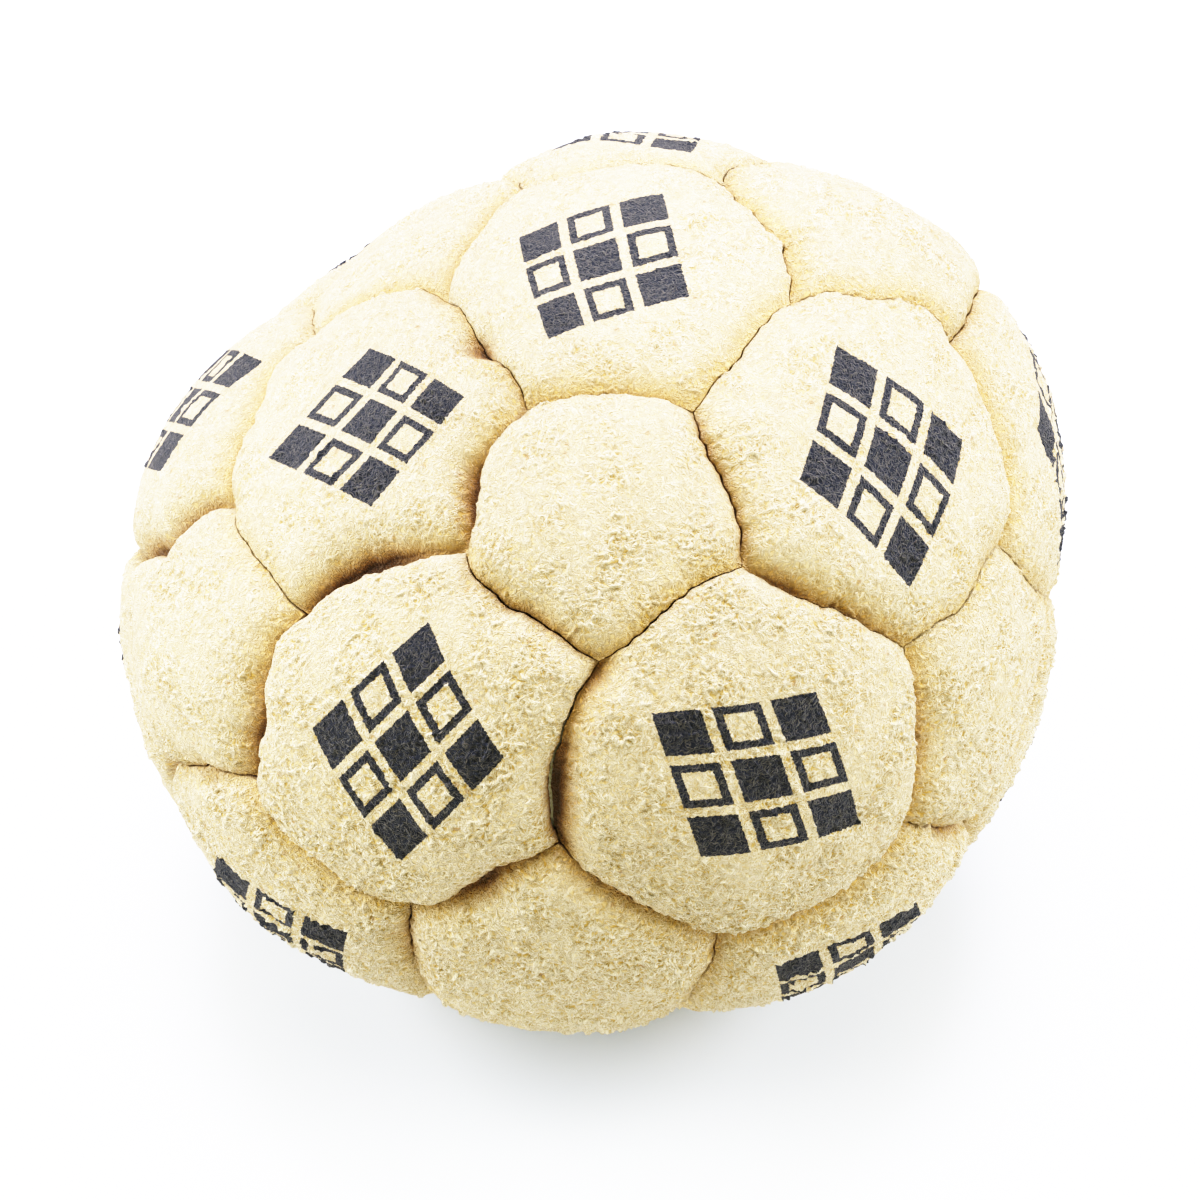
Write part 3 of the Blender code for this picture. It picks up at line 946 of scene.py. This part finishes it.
def plain_weave(name, colour, dark, scale):
    """Cotton cloth: two crossing sets of threads."""
    made = bpy.data.materials.new(name)
    n = Nodes(made)
    shader = n.add("ShaderNodeBsdfPrincipled")
    out = n.add("ShaderNodeOutputMaterial")
    n.link(shader.outputs[0], out.inputs["Surface"])
    shader.inputs["Roughness"].default_value = 0.9
    shader.inputs["Specular IOR Level"].default_value = 0.15
    at = n.add("ShaderNodeTexCoord").outputs["Object"]
    xyz = n.split(n.vector("SCALE", at, scale=scale))
    a = n.math("ABSOLUTE", n.math("SINE", xyz[0]))
    b = n.math("ABSOLUTE", n.math("SINE", n.math("ADD", xyz[1], n.math("MULTIPLY", xyz[2], 0.6))))
    weave = n.math("MAXIMUM", a, b)
    fuzz = n.noise(at, scale * 0.8, 3.0)
    level = n.math("MULTIPLY", weave, n.range(fuzz.outputs["Fac"], 0.2, 0.8, 0.6, 1.0))
    n.link(n.mix(level, dark, colour), shader.inputs["Base Color"])
    bump = n.add("ShaderNodeBump")
    bump.inputs["Strength"].default_value = 0.6
    bump.inputs["Distance"].default_value = 0.0001
    n.link(level, bump.inputs["Height"])
    n.link(bump.outputs[0], shader.inputs["Normal"])
    return made


def grains(name):
    """Loose mineral granules."""
    made = bpy.data.materials.new(name)
    n = Nodes(made)
    shader = n.add("ShaderNodeBsdfPrincipled")
    out = n.add("ShaderNodeOutputMaterial")
    n.link(shader.outputs[0], out.inputs["Surface"])
    shader.inputs["Roughness"].default_value = 0.8
    at = n.add("ShaderNodeTexCoord").outputs["Object"]
    cell = n.add("ShaderNodeTexVoronoi", voronoi_dimensions="3D", feature="F1")
    n.feed(cell.inputs["Vector"], at)
    cell.inputs["Scale"].default_value = 900.0
    own = n.split(cell.outputs["Color"])
    colour = n.mix(own[0], (0.42, 0.36, 0.28, 1), (0.72, 0.66, 0.55, 1))
    # painted shade: each granule darker towards its rim, by the same dip that the bump reads
    dip_and_shade = n.range(cell.outputs["Distance"], 0.2, 0.7, 1.0, 0.35)
    n.link(n.vector("SCALE", colour, scale=dip_and_shade), shader.inputs["Base Color"])
    bump = n.add("ShaderNodeBump")
    bump.inputs["Strength"].default_value = 0.9
    bump.inputs["Distance"].default_value = 0.0005
    n.link(dip_and_shade, bump.inputs["Height"])
    n.link(bump.outputs[0], shader.inputs["Normal"])
    return made


def floor_finish():
    made = bpy.data.materials.new("floor_finish")
    n = Nodes(made)
    shader = n.add("ShaderNodeBsdfPrincipled")
    out = n.add("ShaderNodeOutputMaterial")
    n.link(shader.outputs[0], out.inputs["Surface"])
    shader.inputs["Base Color"].default_value = (0.68, 0.705, 0.735, 1)
    shader.inputs["Roughness"].default_value = 0.6
    shader.inputs["Specular IOR Level"].default_value = 0.2
    return made


# ---------------------------------------------------------------------------
# The object
# ---------------------------------------------------------------------------
printed_suede = suede("printed_suede", True)
bare_suede = suede("bare_suede", False)

count = {"hex": 0, "pent": 0}
for index, (kind, keys) in enumerate(panels()):
    count[kind] += 1
    node = f"{kind}_panel_{count[kind]:02d}"
    piece = make_panel(f"suede_{kind}_{count[kind]:02d}", kind, keys, index)
    low, high = (np.array(list(c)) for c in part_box(node))
    own = np.array([list(c) for c in piece.bound_box])
    if np.abs((low + high) / 2 - (own.min(0) + own.max(0)) / 2).max() > 0.004:
        raise RuntimeError(f"{piece.name} isn't where {node} is")
    piece.data.materials.append(printed_suede if kind == "hex" else bare_suede)
    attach(piece, "root")
    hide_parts(node)

cotton = plain_weave("cotton", (0.80, 0.76, 0.66, 1), (0.45, 0.41, 0.33, 1), 9000.0)
thread = plain_weave("thread", (0.40, 0.25, 0.10, 1), (0.18, 0.10, 0.035, 1), 16000.0)
granules = grains("granules")
for node, finish in {
    "inner_pouch": cotton,
    "seam_thread": thread,
    "pouch_lacing": thread,
    "granule_fill": granules,
}.items():
    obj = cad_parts[node]
    obj = bpy.data.objects[obj] if isinstance(obj, str) else obj
    if obj.material_slots:
        for slot in obj.material_slots:
            slot.material = finish
    else:
        obj.data.materials.append(finish)

# ---------------------------------------------------------------------------
# Stage, light and camera
# ---------------------------------------------------------------------------
mesh = bpy.data.meshes.new("floor")
side = 0.8
mesh.from_pydata(
    [(-side, -side, -0.0001), (side, -side, -0.0001), (side, side, -0.0001), (-side, side, -0.0001)],
    [],
    [(0, 1, 2, 3)],
)
floor = bpy.data.objects.new("floor", mesh)
bpy.context.scene.collection.objects.link(floor)
mesh.materials.append(floor_finish())


def area(name, place, target, size, power, colour=(1, 1, 1)):
    data = bpy.data.lights.new(name, "AREA")
    data.shape = "DISK"
    data.size = size
    data.energy = power
    data.color = colour
    lamp = bpy.data.objects.new(name, data)
    bpy.context.scene.collection.objects.link(lamp)
    away = np.array(place) - np.array(target)
    lamp.location = place
    lamp.rotation_euler = mathutils.Vector(away).to_track_quat("Z", "Y").to_euler()
    return lamp


aim = (0, 0, 0.03)
area("key", (0.0, 0.30, 0.65), aim, 0.5, 3.6, (1.03, 1.0, 1.38))
area("top", (0.0, 0.0, 0.70), aim, 0.6, 1.85, (1.06, 1.0, 0.87))
area("left", (-0.60, 0.0, 0.35), aim, 0.5, 3.8, (0.97, 1.0, 1.07))
area("right", (0.60, 0.0, 0.35), aim, 0.5, 3.3, (0.97, 1.0, 1.07))
area("rim_left", (-0.55, 0.30, 0.25), aim, 0.4, 1.45, (0.93, 1.0, 1.22))
area("rim_right", (0.55, 0.30, 0.25), aim, 0.4, 1.2, (0.94, 1.0, 1.22))
area("fill", (0.0, -0.75, 0.25), aim, 0.5, 1.0, (1.06, 1.0, 0.4))

world = bpy.data.worlds.new("studio")
bpy.context.scene.world = world
world.use_nodes = True
tree = world.node_tree
dim = tree.nodes["Background"]  # what lights the scene
dim.inputs["Color"].default_value = (1.0, 1.0, 1.0, 1)
dim.inputs["Strength"].default_value = 0.006
pale = tree.nodes.new("ShaderNodeBackground")  # what shows beyond the floor
pale.inputs["Color"].default_value = (0.62, 0.62, 0.62, 1)
seen = tree.nodes.new("ShaderNodeLightPath")
either = tree.nodes.new("ShaderNodeMixShader")
tree.links.new(seen.outputs["Is Camera Ray"], either.inputs[0])
tree.links.new(dim.outputs[0], either.inputs[1])
tree.links.new(pale.outputs[0], either.inputs[2])
tree.links.new(either.outputs[0], tree.nodes["World Output"].inputs["Surface"])

elevation = math.radians(45.0)
distance = 9 * RADIUS
right = np.array((1.0, 0, 0))
up = np.array((0, math.sin(elevation), math.cos(elevation)))
toward = np.array((0, -math.cos(elevation), math.sin(elevation)))
centre = SHIFT + (0, 0, -FLOOR)
eye = centre + toward * distance + right * 0.643 - up * 1.829
data = bpy.data.cameras.new("camera")
data.sensor_width = 36.0
data.lens = 36.0 * 460.72 * 9 / 1200
data.clip_start = 0.01
data.clip_end = 10.0
camera = bpy.data.objects.new("camera", data)
bpy.context.scene.collection.objects.link(camera)
camera.location = eye * MM
camera.rotation_euler = (math.pi / 2 - elevation, 0, 0)
bpy.context.scene.camera = camera

view = bpy.context.scene.view_settings
view.view_transform = "Standard"
view.look = "None"
view.exposure = 0.0
view.use_curve_mapping = True
curve = view.curve_mapping.curves[3]
for at in (0.02, 0.05, 0.09, 0.14, 0.20, 0.27, 0.35, 0.45, 0.57, 0.72, 0.86):
    curve.points.new(at, 1 - math.exp(-((4 * at) ** 1.4)))
view.curve_mapping.update()
